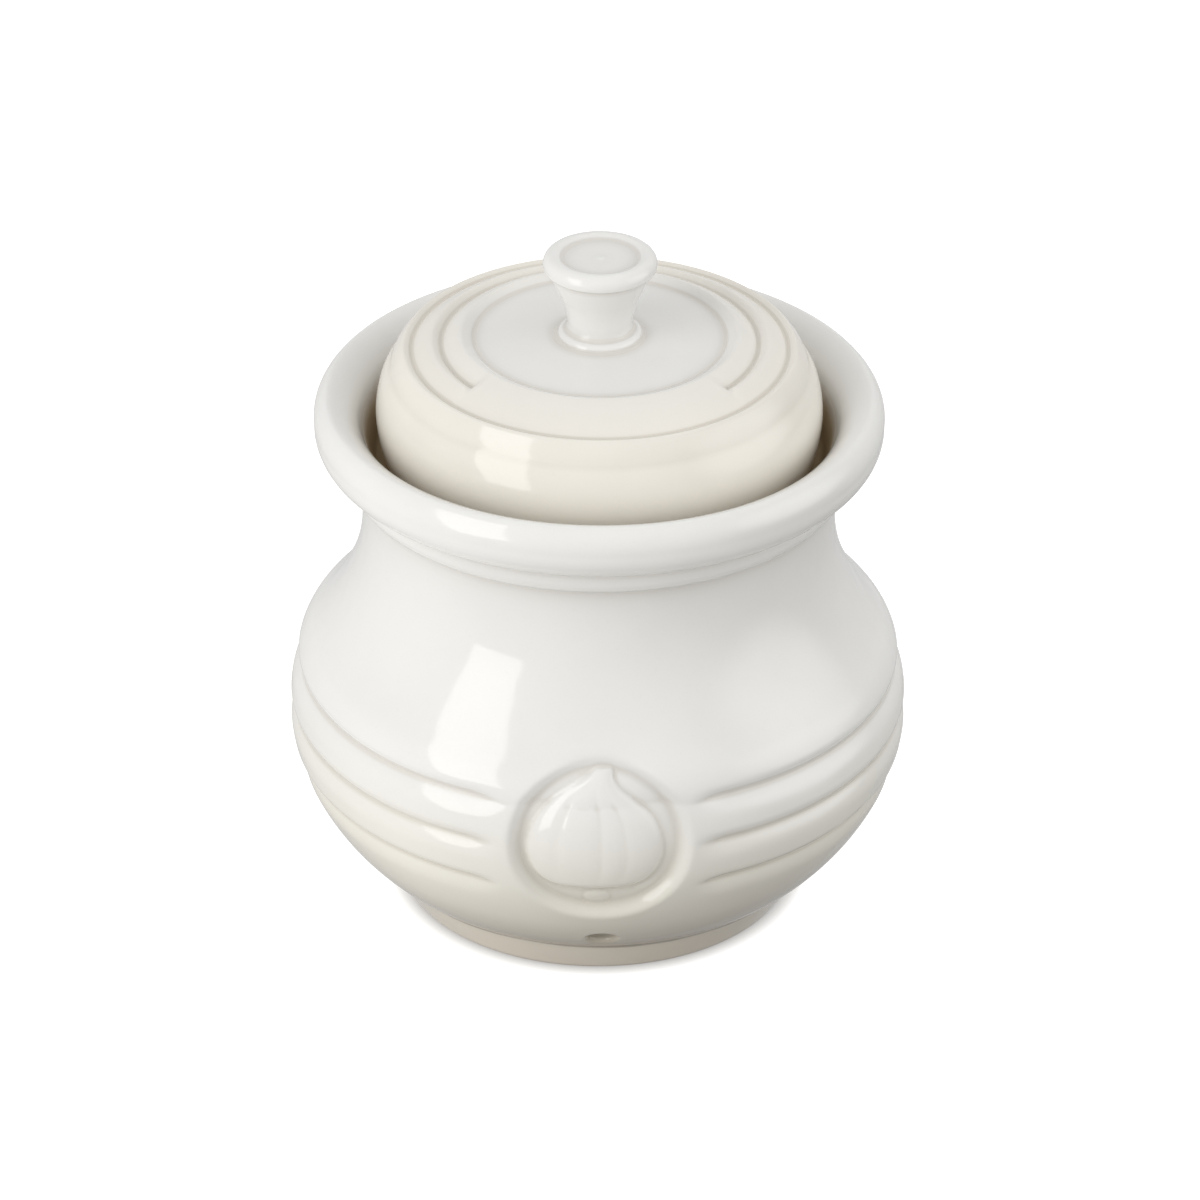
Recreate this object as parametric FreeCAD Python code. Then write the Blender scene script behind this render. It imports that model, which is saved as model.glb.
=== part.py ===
import FreeCAD, Part
import math
import os

os.makedirs("parts", exist_ok=True)

# A glazed stoneware garlic keeper in two pieces: a round-bellied jar with a rolled rim, and a domed
# lid with its knob.  Millimetres, +Z up, origin on the axis in the plane that the foot stands on.
# The front, with the garlic roundel, faces -Y.

# ---- jar: foot and belly -------------------------------------------------------------------------
foot_radius = 38.8            # outer edge of the ring that the jar stands on
foot_ring_width = 5.0
foot_recess = 3.0             # hollow under the jar, inside the foot ring
recess_slope = 0.5            # run over rise of the hollow's side
foot_edge_round = 1.0
foot_top_radius = 43.4        # crease where the foot meets the belly
foot_height = 7.7
belly_radius = 60.6           # widest point, between the two ribs
belly_height = 41.0
lower_body_bulge = 2.1        # rise of the lower body's arc over its chord
lower_groove_height = 30.1    # where the lower body ends
middle_groove_height = 39.8
upper_groove_height = 48.9
lower_groove_radius = 59.4
shoulder_radius = 59.2        # where the belly turns in towards the neck
shoulder_height = 48.6
shoulder_arc = 11.0
cove_arc = 37.0               # hollow curve from shoulder to neck
neck_radius = 46.0            # waist
wall = 6.0
floor_height = 9.5            # inside floor above the table
floor_radius = 40.0           # where the inside wall would meet the floor in a sharp corner
floor_round = 6.0

# ---- jar: grooves that leave two raised ribs ------------------------------------------------------
groove_width = 4.6
groove_depth = 0.95
groove_softness = 0.19        # rise of each flank's arc over its chord
roundel_gap_angle = 18.5      # the grooves stop this far each side of the front, degrees

# ---- jar: collar, rim and gallery -----------------------------------------------------------------
collar_height = 89.8          # foot of the soft band below the rim
collar_radius = 49.3
collar_shoulder_height = 92.2
collar_bulge = 0.7
collar_top_height = 95.2
rim_under_height = 95.7
rim_under_radius = 51.7
rim_radius = 55.1
rim_mid_height = 101.4
rim_top_height = 106.9
rim_top_radius = 52.6
rim_low_bulge = 1.15          # rises of the rim's three arcs over their chords
rim_high_bulge = 0.95
rim_inner_bulge = 0.7
gallery_radius = 46.6         # top of the sloping wall round the seated lid
gallery_top_height = 102.4
gallery_foot_radius = 43.2
ledge_height = 94.0           # flat step that carries the lid

# ---- jar: vents and roundel -------------------------------------------------------------------------
vent_diameter = 5.6
vent_height = 13.6            # where the vent's axis meets the outside
vent_lip_round = 1.1
vent_angles = (0.0, 180.0)    # degrees round from the front
roundel_height = 40.5
roundel_radius = 17.0
roundel_depth = 2.8
roundel_draft = 25.0          # slope of the recess wall, degrees
cut_clearance = 1.0           # how far a cutter reaches past what it cuts

# ---- jar: garlic bulb in the roundel ---------------------------------------------------------------
bulb_base_height = 30.3
bulb_half_width = 13.2
bulb_shift = -0.5             # the bulb sits a little left of the middle
bulb_relief = 2.7             # how far the bulb stands out of the recess floor
bulb_lobes = 5                # cloves that show
furrow_depth = 0.16           # share of the relief that the furrows between cloves take
stem_half_width = 2.1
stem_relief = 1.6
stem_lean = 2.1
stem_top_height = 56.2
root_width = 5.4
root_height = 1.9
root_relief = 1.3
root_drop = 3.0               # from the bulb's base down to the middle of the root
# Sections of the bulb: share of its height, share of its width, share of the stem's lean.
bulb_stations = (
    (0.0, 0.30, 0.0), (0.05, 0.66, 0.0), (0.16, 0.93, 0.0), (0.30, 1.0, 0.0), (0.44, 0.97, 0.0),
    (0.58, 0.83, 0.0), (0.68, 0.64, 0.0), (0.78, 0.38, 0.1), (0.89, 0.10, 0.4), (1.0, 0.0, 1.0),
)

# ---- lid ---------------------------------------------------------------------------------------------
lid_radius = 43.2
lid_wide_height = 103.2
lid_edge_radius = 41.4        # outer edge of the face that sits on the ledge
seat_edge_round = 0.8
lid_ring_radius = 35.5        # outer groove
lid_ring_height = 117.0
lid_brow_radius = 36.6        # crest of the shoulder, just outside that groove
lid_brow_rise = 0.7
lid_brow_bulge = 0.15
shoulder_bulge = 1.95         # rise of the shoulder's arc over its chord
skirt_bulge = 0.35            # the same below the lid's widest point
disc_radius = 24.4
disc_edge_height = 119.3
disc_rise = 0.8               # the disc is higher at the knob than at its edge
disc_bulge = 0.15
disc_step = 0.45              # the ringed band stands this far above the disc
band_bulge = 0.65
middle_ring_radius = 30.6
middle_ring_width = 4.2
middle_ring_depth = 0.9
middle_ring_softness = 0.2
band_gap_angle = 50.0         # the middle groove stops this far each side of the front, degrees
flange_clearance = 1.0        # between the lid's flange and the neck, all round
flange_width = 4.4
flange_depth = 7.5
flange_edge_round = 1.2
lid_inside_height = 113.4
lid_inside_spring = 99.6      # where the flange's inside turns into the dome
dome_corner = 12.0
dome_bulge = 3.6

# ---- knob ---------------------------------------------------------------------------------------------
knob_collar_radius = 9.8
knob_collar_top_radius = 7.7
knob_collar_height = 1.5
knob_collar_bulge = 0.45
knob_neck_radius = 6.5
knob_neck_height = 124.0
knob_neck_hollow = 0.3        # depths of the hollow arcs below and above the neck
knob_flare_hollow = 0.45
knob_radius = 10.9
knob_band_low = 133.3         # foot of the band round the knob's top
knob_band_foot_radius = 10.75
knob_flare_radius = 10.5      # top of the flare, a small step in from the band
knob_band_round = 1.7
knob_top_height = 137.0
knob_dish_radius = 8.3
knob_dish_edge_height = 136.6
knob_dish_depth = 0.5
knob_dish_bulge = 0.15
knob_lip_bulge = 0.12

# ---- shared values --------------------------------------------------------------------------------------
front = FreeCAD.Vector(0, -1, 0)
up = FreeCAD.Vector(0, 0, 1)
origin = FreeCAD.Vector(0, 0, 0)
full_turn = 360.0
bore_radius = neck_radius - wall
flange_radius = bore_radius - flange_clearance
disc_centre_height = disc_edge_height + disc_rise
knob_dish_height = knob_dish_edge_height - knob_dish_depth


# ---- outline helpers: a point is (radius, height) in the half plane X >= 0, Y = 0 ------------------------
def at(point):
    return FreeCAD.Vector(point[0], 0, point[1])


def line(start, end):
    return Part.makeLine(at(start), at(end))


def arc_through(start, middle, end):
    return Part.Arc(at(start), at(middle), at(end)).toShape()


def arc_bulging(start, end, bulge):
    """An arc that rises by bulge, to the left of the way from start to end."""
    across = (end[0] - start[0], end[1] - start[1])
    length = math.hypot(*across)
    middle = ((start[0] + end[0]) / 2 - across[1] / length * bulge,
              (start[1] + end[1]) / 2 + across[0] / length * bulge)
    return arc_through(start, middle, end)


def arc_about(centre, radius, start_angle, end_angle):
    """An arc of a known centre, from one direction to another in degrees."""
    points = []
    for angle in (start_angle, (start_angle + end_angle) / 2, end_angle):
        turn = math.radians(angle)
        points.append((centre[0] + radius * math.cos(turn), centre[1] + radius * math.sin(turn)))
    return arc_through(*points)


def circle_of(start, end, bulge):
    """Centre and radius of the arc that arc_bulging draws."""
    across = (end[0] - start[0], end[1] - start[1])
    length = math.hypot(*across)
    radius = (length ** 2 / 4 + bulge ** 2) / (2 * bulge)
    offset = bulge - radius
    centre = ((start[0] + end[0]) / 2 - across[1] / length * offset,
              (start[1] + end[1]) / 2 + across[0] / length * offset)
    return centre, abs(radius)


def direction(centre, point):
    return math.degrees(math.atan2(point[1] - centre[1], point[0] - centre[0]))


def stepped(point, distance, angle):
    """The point at a distance in a direction given in radians."""
    return point[0] + distance * math.cos(angle), point[1] + distance * math.sin(angle)


def rounded_corner(before, corner, after, radius):
    """Where a fillet of this radius leaves the two straight sides of a corner, and its edge."""
    side = math.radians(direction(corner, before))
    turn = math.radians(direction(corner, after)) - side
    half = math.atan2(math.sin(turn), math.cos(turn)) / 2
    setback = radius / math.tan(abs(half))
    start = stepped(corner, setback, side)
    end = stepped(corner, setback, side + 2 * half)
    middle = stepped(corner, radius / math.sin(abs(half)) - radius, side + half)
    return start, end, arc_through(start, middle, end)


def turned(edges, angle=full_turn, start=0.0):
    """The solid that a closed outline sweeps round the Z axis."""
    face = Part.Face(Part.Wire(edges))
    if start:
        face.rotate(origin, up, start)
    return face.revolve(origin, up, angle)


def from_front(shape, angle):
    """A copy of a shape made at the front, turned round to another side."""
    copy = shape.copy()
    copy.rotate(origin, up, angle)
    return copy


# ---- jar ---------------------------------------------------------------------------------------------------
def shoulder_and_cove():
    """Centres of the shoulder's and the neck's arcs, which touch each other."""
    shoulder_centre = (shoulder_radius - shoulder_arc, shoulder_height)
    run = neck_radius + cove_arc - shoulder_centre[0]
    rise = math.sqrt((cove_arc + shoulder_arc) ** 2 - run ** 2)
    return shoulder_centre, (neck_radius + cove_arc, shoulder_height + rise)


def lower_body():
    """Centre and radius of the arc from the foot's crease to the lowest groove."""
    foot_top = (foot_top_radius, foot_height)
    rib_foot = (lower_groove_radius, lower_groove_height)
    return circle_of(foot_top, rib_foot, -lower_body_bulge)


def body_outline(inset):
    """Edges of the body from its lowest groove to the neck's waist, moved inward by inset."""
    shoulder_centre, cove_centre = shoulder_and_cove()
    meeting = direction(shoulder_centre, cove_centre)
    low_centre, low_radius = lower_body()
    low_angle = math.radians(direction(low_centre, (lower_groove_radius, lower_groove_height)))
    rib_foot = stepped(low_centre, low_radius - inset, low_angle)
    widest = (belly_radius - inset, belly_height)
    shoulder = (shoulder_radius - inset, shoulder_height)
    return rib_foot, [
        arc_through(rib_foot, widest, shoulder),
        arc_about(shoulder_centre, shoulder_arc - inset, 0, meeting),
        arc_about(cove_centre, cove_arc + inset, 180 + meeting, 180),
    ]


def rim_outline():
    """Edges from the neck's waist over the collar, the rolled rim and the gallery to the bore."""
    cove_centre = shoulder_and_cove()[1]
    rise = collar_height - cove_centre[1]
    collar_foot = (cove_centre[0] - math.sqrt(cove_arc ** 2 - rise ** 2), collar_height)
    turn = math.degrees(math.asin(rise / cove_arc))
    collar_low = (collar_radius, collar_shoulder_height)
    collar_top = (collar_radius, collar_top_height)
    rim_low = (rim_under_radius, rim_under_height)
    rim_side = (rim_radius, rim_mid_height)
    rim_top = (rim_top_radius, rim_top_height)
    gallery_top = (gallery_radius, gallery_top_height)
    ledge_outer = (gallery_foot_radius, ledge_height)
    ledge_inner = (bore_radius, ledge_height)
    return [
        arc_about(cove_centre, cove_arc, 180, 180 - turn),
        arc_bulging(collar_foot, collar_low, -collar_bulge),
        line(collar_low, collar_top),
        line(collar_top, rim_low),
        arc_bulging(rim_low, rim_side, -rim_low_bulge),
        arc_bulging(rim_side, rim_top, -rim_high_bulge),
        arc_bulging(rim_top, gallery_top, -rim_inner_bulge),
        line(gallery_top, ledge_outer),
        line(ledge_outer, ledge_inner),
        line(ledge_inner, (bore_radius, cove_centre[1])),
    ]


def foot_outline():
    """Edges of the underside and the foot, from the axis out to the belly's crease."""
    ring_inner = (foot_radius - foot_ring_width, 0)
    recess_edge = (foot_radius - foot_ring_width - foot_recess * recess_slope, foot_recess)
    foot_top = (foot_top_radius, foot_height)
    edge_low, edge_high, edge = rounded_corner(ring_inner, (foot_radius, 0), foot_top, foot_edge_round)
    return [
        line((0, foot_recess), recess_edge),
        line(recess_edge, ring_inner),
        line(ring_inner, edge_low),
        edge,
        line(edge_high, foot_top),
    ]


def inside_outline():
    """Edges of the cavity from the neck's waist down to the axis; the wall thickens to the foot."""
    rib_foot, edges = body_outline(wall)
    floor_centre = (0, floor_height)
    corner = (floor_radius, floor_height)
    wall_end, floor_start, round_edge = rounded_corner(rib_foot, corner, floor_centre, floor_round)
    return edges + [line(rib_foot, wall_end), round_edge, line(floor_start, floor_centre)]


def turned_jar():
    low_centre, low_radius = lower_body()
    foot_top = (foot_top_radius, foot_height)
    rib_foot = (lower_groove_radius, lower_groove_height)
    edges = foot_outline()
    edges.append(arc_about(low_centre, low_radius, direction(low_centre, foot_top),
                           direction(low_centre, rib_foot)))
    edges += body_outline(0)[1]
    edges += rim_outline()
    edges += inside_outline()
    edges.append(line((0, floor_height), (0, foot_recess)))
    return turned(Part.__sortEdges__(edges))


def body_radius_at(height):
    """Outside radius of the smooth body, between its foot and its shoulder."""
    low_centre, low_radius = lower_body()
    if height <= lower_groove_height:
        return low_centre[0] + math.sqrt(low_radius ** 2 - (height - low_centre[1]) ** 2)
    ribs = body_outline(0)[1][0].Curve
    centre, radius = ribs.Center, ribs.Radius
    if height <= shoulder_height:
        return centre.x + math.sqrt(radius ** 2 - (height - centre.z) ** 2)
    return shoulder_radius - shoulder_arc + math.sqrt(
        shoulder_arc ** 2 - (height - shoulder_height) ** 2)


def groove(height):
    """A cutter for one groove, a curved V that stops short of the roundel on both sides."""
    surface = body_radius_at(height)
    half = groove_width / 2
    clear = surface + groove_width
    bottom = (surface - groove_depth, height)
    low = (body_radius_at(height - half), height - half)
    high = (body_radius_at(height + half), height + half)
    edges = [
        arc_bulging(low, bottom, -groove_softness),
        arc_bulging(bottom, high, -groove_softness),
        line(high, (clear, high[1])),
        line((clear, high[1]), (clear, low[1])),
        line((clear, low[1]), low),
    ]
    return turned(edges, full_turn - 2 * roundel_gap_angle, -90 + roundel_gap_angle)


def vent(angle):
    """A cutter for one vent, square to the sloping wall, with a rounded lip."""
    low_centre = lower_body()[0]
    surface = (body_radius_at(vent_height), vent_height)
    slope = math.radians(direction(low_centre, surface))
    outward = FreeCAD.Vector(math.cos(slope), 0, math.sin(slope))
    reach = 2 * wall
    bore = Part.makeCylinder(vent_diameter / 2, 2 * reach, at(surface) - outward * reach, outward)
    lip_radius = vent_diameter / 2 + vent_lip_round
    lip_start = at(surface) - outward * vent_lip_round
    lip = Part.makeCylinder(lip_radius, vent_lip_round + cut_clearance, lip_start, outward)
    ring = Part.makeTorus(lip_radius, vent_lip_round, lip_start, outward)
    cutter = bore.fuse(lip.cut(ring))
    return from_front(cutter, -90 + angle)


def roundel_recess():
    """A cutter for the round recess, whose floor keeps the belly's curve at an even depth."""
    # The cone reaches from behind the floor to in front of the belly, and widens outwards.
    inner_reach = belly_radius - wall
    outer_reach = belly_radius + roundel_depth
    slope = math.tan(math.radians(roundel_draft))
    start = FreeCAD.Vector(0, 0, roundel_height) + front * inner_reach
    cone = Part.makeCone(roundel_radius - wall * slope, roundel_radius + roundel_depth * slope,
                         outer_reach - inner_reach, start, front)
    rib_foot, edges = body_outline(roundel_depth)
    low_centre, low_radius = lower_body()
    radius = low_radius - roundel_depth
    foot_top = (foot_top_radius, foot_height)
    angle = direction(low_centre, foot_top)
    low = stepped(low_centre, radius, math.radians(angle))
    high = (neck_radius - roundel_depth, shoulder_and_cove()[1][1])
    edges.append(arc_about(low_centre, radius, angle, direction(low_centre, rib_foot)))
    edges += [line(low, (0, low[1])), line((0, low[1]), (0, high[1])), line((0, high[1]), high)]
    core = turned(Part.__sortEdges__(edges))
    return cone.cut(core)


def lobed_section(height, half_width, relief, lean):
    """A closed scalloped outline of the bulb, flat in Z, that bends round the jar with its floor."""
    floor = body_radius_at(height) - roundel_depth
    points = []
    count = 4 * bulb_lobes
    for step in range(count):
        angle = math.tau * step / count
        furrow = 1 - furrow_depth * (1 + math.cos(2 * bulb_lobes * angle)) / 2
        across = half_width * math.cos(angle)
        side = bulb_shift + lean + across
        out = math.sqrt(floor ** 2 - side ** 2) + relief * furrow * math.sin(angle)
        points.append(FreeCAD.Vector(side, -out, height))
    curve = Part.BSplineCurve()
    curve.interpolate(points, PeriodicFlag=True)
    return Part.Wire(curve.toShape())


def garlic_bulb():
    """The bulb, lofted through lobed sections from its base to the cut stem."""
    rise = stem_top_height - bulb_base_height
    sections = []
    for share, width, lean in bulb_stations:
        half_width = stem_half_width + (bulb_half_width - stem_half_width) * width
        height = bulb_base_height + rise * share
        relief = stem_relief + (bulb_relief - stem_relief) * width
        sections.append(lobed_section(height, half_width, relief, lean * stem_lean))
    return Part.makeLoft(sections, True)


def bulb_root():
    """The flattened knob of the root, under the bulb."""
    root = Part.makeSphere(root_width / 2)
    squash = FreeCAD.Matrix()
    squash.scale(1, 2 * root_relief / root_width, root_height / root_width)
    root = root.transformGeometry(squash)
    height = bulb_base_height - root_drop
    root.translate(up * height + front * (body_radius_at(height) - roundel_depth))
    return root


def make_jar():
    shape = turned_jar()
    for height in (lower_groove_height, middle_groove_height, upper_groove_height):
        shape = shape.cut(groove(height))
    shape = shape.cut(roundel_recess())
    shape = shape.fuse(garlic_bulb()).fuse(bulb_root())
    for angle in vent_angles:
        shape = shape.cut(vent(angle))
    return shape


# ---- lid ---------------------------------------------------------------------------------------------------
def knob_outline():
    """Edges from the knob's top centre down its side to the disc."""
    dish_edge = (knob_dish_radius, knob_dish_edge_height)
    top_corner = (knob_radius, knob_top_height)
    band_foot = (knob_band_foot_radius, knob_band_low)
    crest, side, band_edge = rounded_corner((0, knob_top_height), top_corner, band_foot, knob_band_round)
    flare_top = (knob_flare_radius, knob_band_low)
    neck = (knob_neck_radius, knob_neck_height)
    collar_top = (knob_collar_top_radius, disc_centre_height + knob_collar_height)
    collar_foot = (knob_collar_radius, disc_centre_height)
    return [
        arc_bulging((0, knob_dish_height), dish_edge, -knob_dish_bulge),
        arc_bulging(dish_edge, crest, knob_lip_bulge),
        band_edge,
        line(side, band_foot),
        line(band_foot, flare_top),
        arc_bulging(flare_top, neck, -knob_flare_hollow),
        arc_bulging(neck, collar_top, -knob_neck_hollow),
        arc_bulging(collar_top, collar_foot, knob_collar_bulge),
    ]


def band_ends():
    """The ringed band's inner edge, a small step above the disc, and its outer groove."""
    start = (disc_radius + disc_step, disc_edge_height + disc_step)
    return start, (lid_ring_radius, lid_ring_height)


def lid_top_outline():
    """Edges from the knob's collar over the disc, the band and the shoulder to the seat."""
    collar_foot = (knob_collar_radius, disc_centre_height)
    disc_edge = (disc_radius, disc_edge_height)
    band_start, ring = band_ends()
    brow = (lid_brow_radius, lid_ring_height + lid_brow_rise)
    wide = (lid_radius, lid_wide_height)
    seat_inner = (flange_radius, ledge_height)
    edge, seat_outer, edge_round = rounded_corner(
        wide, (lid_edge_radius, ledge_height), seat_inner, seat_edge_round)
    return [
        arc_bulging(collar_foot, disc_edge, disc_bulge),
        line(disc_edge, band_start),
        arc_bulging(band_start, ring, band_bulge),
        arc_bulging(ring, brow, lid_brow_bulge),
        arc_bulging(brow, wide, shoulder_bulge),
        arc_bulging(wide, edge, skirt_bulge),
        edge_round,
        line(seat_outer, seat_inner),
    ]


def lid_inside_outline():
    """Edges from the seat down the flange and up inside the dome to the axis."""
    flange_low = ledge_height - flange_depth
    inner_radius = flange_radius - flange_width
    seat_inner = (flange_radius, ledge_height)
    spring = (inner_radius, lid_inside_spring)
    outer_corner = (flange_radius, flange_low)
    inner_corner = (inner_radius, flange_low)
    outer_high, outer_low, outer_round = rounded_corner(
        seat_inner, outer_corner, inner_corner, flange_edge_round)
    inner_low, inner_high, inner_round = rounded_corner(
        outer_corner, inner_corner, spring, flange_edge_round)
    dome = (inner_radius - dome_corner, lid_inside_height)
    return [
        line(seat_inner, outer_high),
        outer_round,
        line(outer_low, inner_low),
        inner_round,
        line(inner_high, spring),
        arc_bulging(spring, dome, -dome_bulge),
        line(dome, (0, lid_inside_height)),
    ]


def middle_ring():
    """A cutter for the middle groove of the lid, which stops short of the bare front band."""
    centre, radius = circle_of(*band_ends(), band_bulge)
    points = []
    for across in (-middle_ring_width / 2, 0, middle_ring_width / 2):
        reach = middle_ring_radius + across
        points.append((reach, centre[1] + math.sqrt(radius ** 2 - (reach - centre[0]) ** 2)))
    low, middle, high = points
    bottom = (middle[0], middle[1] - middle_ring_depth)
    clear = middle[1] + middle_ring_width
    edges = [
        arc_bulging(low, bottom, middle_ring_softness),
        arc_bulging(bottom, high, middle_ring_softness),
        line(high, (high[0], clear)),
        line((high[0], clear), (low[0], clear)),
        line((low[0], clear), low),
    ]
    return turned(edges, full_turn - 2 * band_gap_angle, -90 + band_gap_angle)


def make_lid():
    edges = knob_outline() + lid_top_outline() + lid_inside_outline()
    edges.append(line((0, lid_inside_height), (0, knob_dish_height)))
    return turned(Part.__sortEdges__(edges)).cut(middle_ring())


def write(shape, node):
    shape.exportStep("parts/" + node + ".step")
    print(node, shape.isValid(), len(shape.Solids), round(shape.Volume), shape.BoundBox)


write(make_jar(), "jar")
write(make_lid(), "lid")
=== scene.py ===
# %% [markdown]
# # A glazed stoneware garlic keeper
#
# The object is a small round-bellied jar with a loose domed lid.  Both pieces are thrown or moulded
# clay, turned about one axis, dipped in glossy white glaze and fired.  What makes it this jar and not
# another is a handful of details: two soft ribs round the belly, a dished roundel with a garlic bulb
# in relief, two small air vents near the foot, and a lid with rings round a smooth disc.
#
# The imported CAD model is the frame.  It says where each piece is and how large it is, and nothing here
# moves it.  The two meshes made below stand in for the two CAD pieces, in the same place and size.

# %% Load the frame
import functools
import math

import bmesh
import bpy
import numpy as np
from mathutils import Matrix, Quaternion, Vector


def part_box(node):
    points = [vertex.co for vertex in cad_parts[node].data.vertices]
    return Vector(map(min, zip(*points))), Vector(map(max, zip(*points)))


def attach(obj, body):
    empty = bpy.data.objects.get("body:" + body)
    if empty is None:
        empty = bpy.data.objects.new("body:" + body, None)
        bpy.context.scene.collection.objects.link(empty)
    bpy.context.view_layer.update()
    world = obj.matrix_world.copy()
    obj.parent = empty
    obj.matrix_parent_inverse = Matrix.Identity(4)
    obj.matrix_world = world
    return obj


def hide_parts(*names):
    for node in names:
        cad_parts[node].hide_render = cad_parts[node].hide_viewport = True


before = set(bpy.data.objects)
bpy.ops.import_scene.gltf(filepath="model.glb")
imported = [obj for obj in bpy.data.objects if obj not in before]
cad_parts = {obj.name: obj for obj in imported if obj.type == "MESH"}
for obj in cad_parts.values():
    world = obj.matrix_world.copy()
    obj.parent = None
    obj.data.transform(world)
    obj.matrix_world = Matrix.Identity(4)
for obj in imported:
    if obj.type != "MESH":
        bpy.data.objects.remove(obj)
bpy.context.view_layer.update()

jar_low, jar_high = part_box("jar")
lid_low, lid_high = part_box("lid")
print("jar is", round(jar_high[0] - jar_low[0], 4), "m wide and its rim", round(jar_high[2], 4), "m high")

# %% [markdown]
# ## Outlines
#
# A turned pot is known by its outline, the curve that a knife would show if it cut the pot in half.
# Each outline below is a chain of straight lines and arcs.  An arc is written by its two ends and its
# bulge, which is how far its middle stands off the straight line between them, as that is easy to
# measure on a real pot.  The chain is first laid out in very fine steps.  Glaze never leaves a sharp
# corner, so the fine points are then softened by averaging each one with its neighbours.  Last, only
# as many rows are kept as each stretch needs: few on a plain wall, many where the surface turns.

# %% Arcs, softening and rows
fine_step = 0.00005
row_grading = 0.45        # how far the rows of a stretch crowd towards its two ends
least_bulge = 1e-7        # a bulge below this is a straight line


def bowed(start, end, bulge):
    """Fine points from start to end, start left out, on an arc whose middle stands off by bulge."""
    start, end = np.array(start, float), np.array(end, float)
    chord = end - start
    length = np.hypot(*chord)
    count = max(2, round(length / fine_step))
    share = np.arange(1, count + 1)[:, None] / count
    if abs(bulge) < least_bulge:
        return start + chord * share
    centre, radius = arc_centre(start, end, bulge)
    first = math.atan2(*(start - centre)[::-1])
    turn = math.atan2(*(end - centre)[::-1]) - first
    angle = first + math.atan2(math.sin(turn), math.cos(turn)) * share
    return centre + radius * np.hstack([np.cos(angle), np.sin(angle)])


def bulge_for(start, end, radius):
    """The bulge of an arc of a known radius; a negative one bulges to the right of the way."""
    half = math.dist(start, end) / 2
    return math.copysign(abs(radius) - math.sqrt(radius ** 2 - half ** 2), radius)


def bulge_through(start, middle, end):
    """The bulge of the arc through three points."""
    a, b, c = (np.array(point, float) for point in (start, middle, end))
    turn = (b[0] - a[0]) * (c[1] - b[1]) - (b[1] - a[1]) * (c[0] - b[0])
    radius = math.dist(a, b) * math.dist(b, c) * math.dist(a, c) / (2 * abs(turn))
    return bulge_for(start, end, -math.copysign(radius, turn))


def eased(before, corner, after, radius):
    """Where a rounding of this radius leaves the two sides of a corner, and the bulge of its arc."""
    corner = np.array(corner, float)
    ways = [np.array(other, float) - corner for other in (before, after)]
    ways = [way / np.hypot(*way) for way in ways]
    half = math.acos(ways[0] @ ways[1]) / 2
    start, end = (corner + way * radius / math.tan(half) for way in ways)
    turn = ways[0][0] * ways[1][1] - ways[0][1] * ways[1][0]
    return start, end, math.copysign(radius * (1 - math.sin(half)), turn)


def arc_centre(start, end, bulge):
    """Centre and radius of the arc that bowed() draws."""
    start, end = np.array(start, float), np.array(end, float)
    chord = end - start
    length = np.hypot(*chord)
    radius = (length ** 2 / 4 + bulge ** 2) / (2 * bulge)
    left = np.array([-chord[1], chord[0]]) / length
    return (start + end) / 2 + left * (bulge - radius), abs(radius)


def lay_out(start, stretches):
    """Fine points along (end, bulge, rows) stretches, and where on them the rows fall."""
    points = np.array([start], float)
    rows = [0.0]
    for end, bulge, count in stretches:
        base = len(points) - 1
        points = np.vstack([points, bowed(points[-1], end, bulge)])
        share = np.arange(1, count + 1) / count
        graded = (1 - row_grading) * share + row_grading * (1 - np.cos(math.pi * share)) / 2
        rows += list(base + graded * (len(points) - 1 - base))
    return points, np.array(rows)


def outward_of(points):
    """Unit vectors square to an outline, on its right-hand side, where the air is."""
    along = np.gradient(points, axis=0)
    along /= np.linalg.norm(along, axis=1)[:, None]
    return np.column_stack([along[:, 1], -along[:, 0]])


def softened(points, reach):
    """The line of points with its corners rounded over about that distance, as glaze does."""
    width = round(3 * reach / fine_step)
    weights = np.exp(-0.5 * (np.arange(-width, width + 1) * fine_step / reach) ** 2)
    weights /= weights.sum()
    padded = np.pad(points, ((width, width), (0, 0)), mode="edge")
    smooth = np.column_stack([np.convolve(padded[:, k], weights, "valid") for k in (0, 1)])
    smooth[0], smooth[-1] = points[0], points[-1]
    return smooth


def rows_of(points, rows):
    """The outline at its rows."""
    index = np.arange(len(points))
    return np.column_stack([np.interp(rows, index, points[:, k]) for k in (0, 1)])


def valley(along, place, depth, before, after):
    """Depth of a groove that falls in two soft flanks of unlike width to a narrow bottom."""
    off = along - place
    share = np.clip(1 - np.where(off < 0, -off / before, off / after), 0, 1)
    return depth * share ** 2


# %% Measures of the jar
glaze_reach = 0.00032

foot_radius = 0.0388
foot_ring_width = 0.0050
foot_recess_run = 0.0015
foot_recess_depth = 0.0030
foot_edge_round = 0.0010
foot_inner = (foot_radius - foot_ring_width, 0.0)
foot_recess = (foot_inner[0] - foot_recess_run, foot_recess_depth)
foot_corner = (foot_radius, 0.0)
foot_top = (0.0434, 0.0077)
foot_outer, foot_rise, foot_edge_bulge = eased(foot_inner, foot_corner, foot_top, foot_edge_round)
rib_foot = (0.0594, 0.0301)
belly = (0.0606, 0.0410)
shoulder = (0.0592, 0.0486)
shoulder_radius = 0.0110
cove_radius = 0.0370
neck_radius = 0.0460
wall = 0.0060

shoulder_centre = (shoulder[0] - shoulder_radius, shoulder[1])
cove_run = neck_radius + cove_radius - shoulder_centre[0]
cove_rise = math.sqrt((cove_radius + shoulder_radius) ** 2 - cove_run ** 2)
waist = (neck_radius, shoulder[1] + cove_rise)
meeting_angle = math.atan2(cove_rise, cove_run)


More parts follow.
